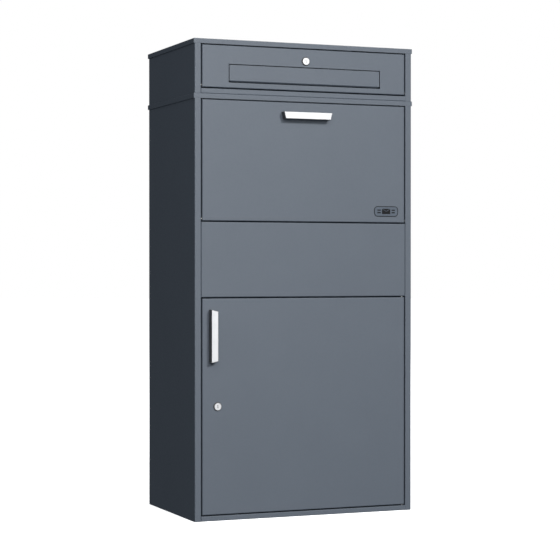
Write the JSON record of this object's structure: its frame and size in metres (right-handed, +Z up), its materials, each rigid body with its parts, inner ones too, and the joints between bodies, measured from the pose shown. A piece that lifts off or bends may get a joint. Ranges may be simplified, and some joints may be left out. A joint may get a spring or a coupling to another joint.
{
  "type": "parcel drop box",
  "caption": "Free-standing sheet-steel parcel box: tilting hopper flap, locked safe door, and a letterbox with a slot flap bolted on top.",
  "frame": {"origin": "on the floor under the middle of the casing, at the centre of the four floor anchor holes", "axes": "+Z up, -Y out of the front with the doors, +X to the right seen from the front"},
  "size_m": [0.564, 0.362, 1.125],
  "materials": {
    "powder_coat": "anthracite powder coat, satin, fine orange peel",
    "badge_coat": "anthracite powder coat, raised parts a shade darker",
    "zinc_steel": "zinc plated",
    "spring_steel": "drawn wire, oiled",
    "chrome": "polished chrome plate",
    "nylon": "natural nylon",
    "rubber": "moulded EPDM"
  },
  "bodies": {
    "cabinet": {"safe_side_left": "powder_coat", "safe_side_right": "powder_coat", "safe_back": "powder_coat", "safe_floor": "powder_coat", "safe_lid": "powder_coat", "flap_header": "powder_coat", "fixed_front_panel": "powder_coat", "letterbox_side_left": "powder_coat", "letterbox_side_right": "powder_coat", "letterbox_back": "powder_coat", "letterbox_floor": "powder_coat", "letterbox_lid": "powder_coat", "letterbox_header": "powder_coat", "panel_rivets": "zinc_steel", "back_rivets": "zinc_steel", "module_bolts": "zinc_steel", "module_nuts": "zinc_steel", "rear_baffle": "powder_coat", "baffle_rivets": "zinc_steel", "flap_hinge_pins": "zinc_steel", "safe_door_hinge_pins": "zinc_steel", "letterbox_door_hinge_pins": "zinc_steel", "flap_bumpers": "rubber", "safe_door_bumpers": "rubber", "letterbox_door_bumpers": "rubber", "flap_stop_plates": "powder_coat", "flap_stop_buffers": "rubber"},
    "parcel_flap": {"flap_panel": "powder_coat", "hopper_tray": "powder_coat", "hopper_cheek_left": "powder_coat", "hopper_cheek_right": "powder_coat", "hopper_rivets": "zinc_steel", "flap_handle": "chrome", "flap_handle_screws": "zinc_steel", "flap_hinge_bushes": "nylon", "badge": "badge_coat"},
    "safe_door": {"safe_door_panel": "powder_coat", "safe_door_stiffener": "powder_coat", "safe_door_handle": "chrome", "safe_door_handle_screws": "zinc_steel", "safe_door_hinge_bushes": "nylon", "safe_lock_body": "chrome", "safe_lock_nut": "zinc_steel"},
    "safe_lock_core": {"safe_lock_plug": "chrome", "safe_lock_cam": "zinc_steel", "safe_lock_cam_screw": "zinc_steel"},
    "letterbox_door": {"letterbox_door_panel": "powder_coat", "letterbox_door_hinge_bushes": "nylon", "letter_flap_brackets": "powder_coat", "letter_flap_rod": "zinc_steel", "letter_flap_spring": "spring_steel", "letterbox_lock_body": "chrome", "letterbox_lock_nut": "zinc_steel"},
    "letterbox_lock_core": {"letterbox_lock_plug": "chrome", "letterbox_lock_cam": "zinc_steel", "letterbox_lock_cam_screw": "zinc_steel"},
    "letter_flap": {"letter_flap": "powder_coat"}
  },
  "joints": [
    {"name": "parcel_flap_hinge", "type": "hinge", "parent": "cabinet", "child": "parcel_flap", "pos_m": [0, -0.166, 0.706], "axis": [1, 0, 0], "range_deg": [0, 50]},
    {"name": "safe_door_hinge", "type": "hinge", "parent": "cabinet", "child": "safe_door", "pos_m": [0.2565, -0.166, 0.267], "axis": [0, 0, 1], "range_deg": [0, 110]},
    {"name": "safe_lock_turn", "type": "hinge", "parent": "safe_door", "child": "safe_lock_core", "pos_m": [-0.2237, -0.16, 0.2673], "axis": [0, 1, 0], "range_deg": [0, 90]},
    {"name": "letterbox_door_hinge", "type": "hinge", "parent": "cabinet", "child": "letterbox_door", "pos_m": [0, -0.166, 1.017], "axis": [1, 0, 0], "range_deg": [0, 105]},
    {"name": "letterbox_lock_turn", "type": "hinge", "parent": "letterbox_door", "child": "letterbox_lock_core", "pos_m": [0, -0.16, 1.0824], "axis": [0, 1, 0], "range_deg": [0, 90]},
    {"name": "letter_flap_hinge", "type": "hinge", "parent": "letterbox_door", "child": "letter_flap", "pos_m": [0, -0.1661, 1.063], "axis": [1, 0, 0], "range_deg": [0, 70], "stiffness_Nm_per_rad": 0.05, "springref_deg": -34.38, "deforming": ["letter_flap_spring"]}
  ]
}
